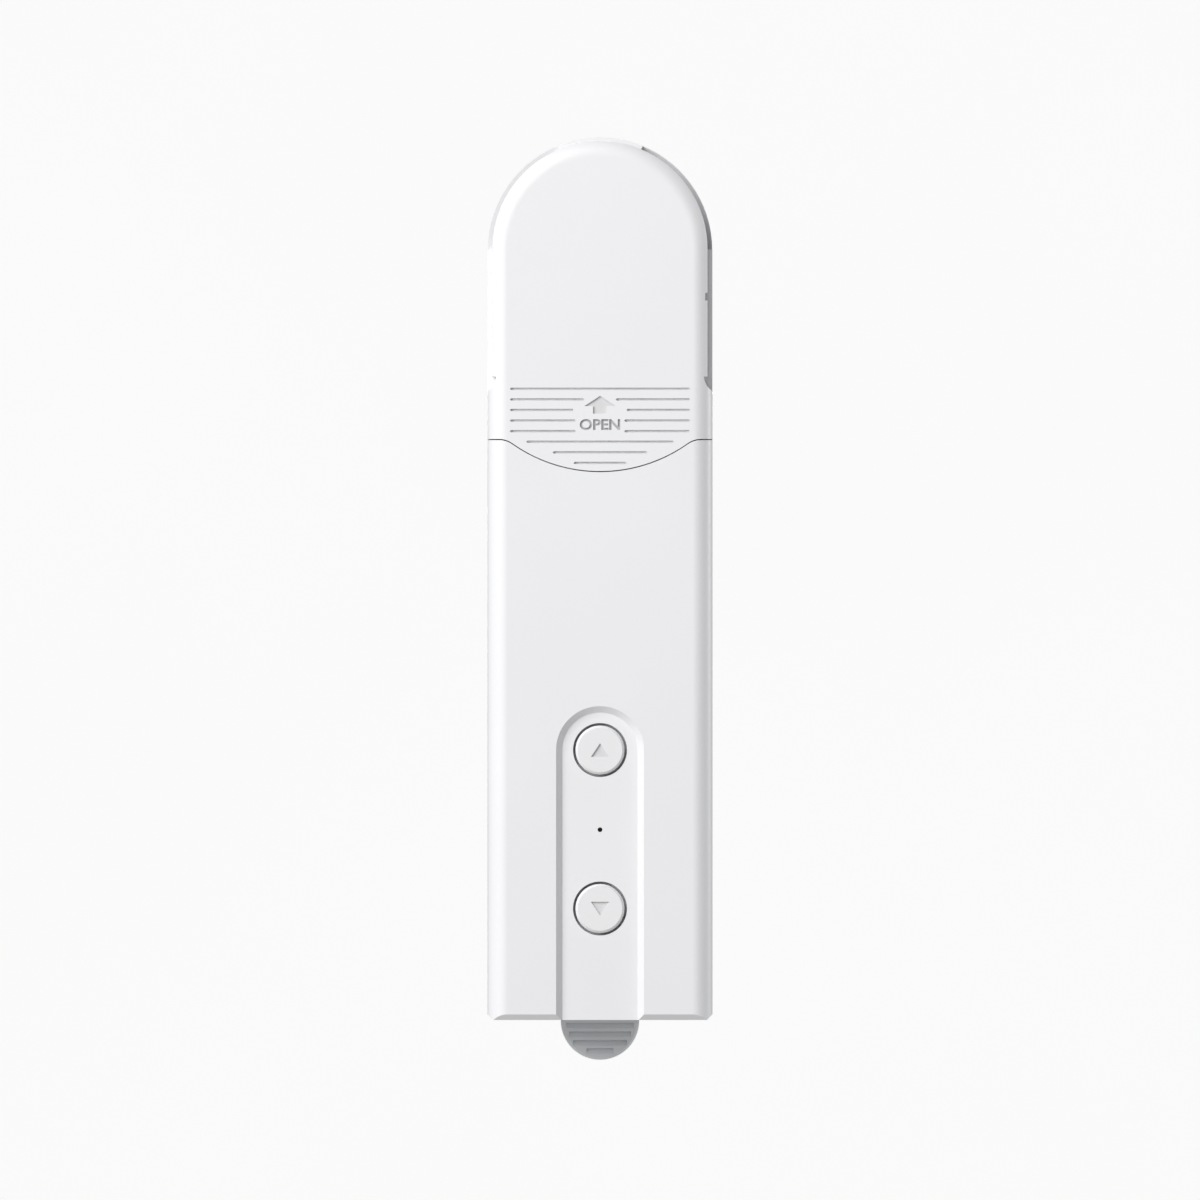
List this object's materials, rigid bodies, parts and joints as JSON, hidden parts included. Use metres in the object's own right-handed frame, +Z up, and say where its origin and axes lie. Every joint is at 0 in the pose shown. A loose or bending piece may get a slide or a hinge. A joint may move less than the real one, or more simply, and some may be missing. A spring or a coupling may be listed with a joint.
{
  "type": "roller shade motor",
  "caption": "Slim upright case with a round top, sliding chain cover, push buttons in a sunk channel and a release tab; drives the bead chain of a roller shade.",
  "frame": {"origin": "midway between the two wall screws, on the wall plane behind the bracket", "axes": "+X to the right as seen from the room, +Y into the wall, +Z up"},
  "size_m": [0.04, 0.0382, 0.1645],
  "materials": {
    "white_shell": "fine moulded texture",
    "button_plastic": "fine moulded texture",
    "bracket_plastic": "moulded",
    "grey_tab": "moulded",
    "latch_plastic": "moulded",
    "gearbox_plastic": "moulded",
    "gear_plastic": "moulded acetal",
    "sprocket_plastic": "moulded",
    "bushing": "sintered",
    "steel": "ground",
    "screw_steel": "plated",
    "board": "solder mask",
    "black_plastic": "moulded",
    "shield_steel": "rolled",
    "switch_body": "moulded",
    "switch_pin": "moulded",
    "lamp": "clear",
    "cell_wrap": "shrink wrap",
    "lead_rubber": "insulation"
  },
  "bodies": {
    "bracket": {"wall_bracket": "bracket_plastic"},
    "driver": {"rear_shell": "white_shell", "front_shell": "white_shell", "latch_leaf": "latch_plastic", "main_board": "board", "tact_switches": "switch_body", "radio_module": "shield_steel", "control_chip": "black_plastic", "status_led": "lamp", "light_pipe": "lamp", "usb_socket": "shield_steel", "battery_tray": "gearbox_plastic", "battery_cells": "cell_wrap", "motor_can": "shield_steel", "motor_end_bell": "black_plastic", "gearbox_frame": "gearbox_plastic", "gearbox_plate": "gearbox_plastic", "gear_pins": "steel", "front_bush": "bushing", "back_bush": "bushing", "worm_bush": "bushing", "case_screws": "screw_steel", "frame_screws": "screw_steel", "motor_screws": "screw_steel", "board_screws": "screw_steel", "board_plugs": "black_plastic", "motor_lead": "lead_rubber", "battery_lead": "lead_rubber"},
    "cover": {"chain_cover": "white_shell"},
    "release": {"release_tab": "grey_tab"},
    "up_button": {"button_up": "button_plastic", "switch_plunger_up": "switch_pin"},
    "down_button": {"button_down": "button_plastic", "switch_plunger_down": "switch_pin"},
    "chain_wheel": {"chain_sprocket": "sprocket_plastic", "sprocket_screw": "screw_steel", "output_shaft": "steel", "output_gear": "gear_plastic"},
    "idler": {"idler_gear": "gear_plastic"},
    "wheel": {"worm_wheel": "gear_plastic"},
    "rotor": {"worm": "gear_plastic", "motor_shaft": "steel"}
  },
  "joints": [
    {"name": "driver_slide", "type": "slide", "parent": "bracket", "child": "driver", "axis": [0, 0, 1], "range_m": [0, 0.095], "deforming": ["latch_leaf"]},
    {"name": "cover_slide", "type": "slide", "parent": "driver", "child": "cover", "axis": [0, 0, 1], "range_m": [0, 0.062]},
    {"name": "release_pull", "type": "slide", "parent": "driver", "child": "release", "axis": [0, 0, -1], "range_m": [0, 0.003], "stiffness_N_per_m": 400, "deforming": ["latch_leaf"]},
    {"name": "button_up_press", "type": "slide", "parent": "driver", "child": "up_button", "axis": [0, 1, 0], "range_m": [0, 0.0004], "stiffness_N_per_m": 600},
    {"name": "button_down_press", "type": "slide", "parent": "driver", "child": "down_button", "axis": [0, 1, 0], "range_m": [0, 0.0004], "stiffness_N_per_m": 600},
    {"name": "wheel_spin", "type": "hinge", "parent": "driver", "child": "chain_wheel", "pos_m": [0, -0.0226, 0.081], "axis": [0, 1, 0], "continuous": true},
    {"name": "idler_spin", "type": "hinge", "parent": "driver", "child": "idler", "pos_m": [0.004, -0.012, 0.06181], "axis": [0, 1, 0], "continuous": true},
    {"name": "worm_wheel_spin", "type": "hinge", "parent": "driver", "child": "wheel", "pos_m": [-0.005, -0.019, 0.05057], "axis": [0, 1, 0], "continuous": true},
    {"name": "worm_spin", "type": "hinge", "parent": "driver", "child": "rotor", "pos_m": [0.007, -0.019, 0.05057], "axis": [0, 0, 1], "continuous": true}
  ],
  "couplings": [
    {"joint": "idler_spin", "follows": "wheel_spin", "ratio": -2.5},
    {"joint": "worm_wheel_spin", "follows": "wheel_spin", "ratio": 5},
    {"joint": "worm_spin", "follows": "wheel_spin", "ratio": 100}
  ]
}
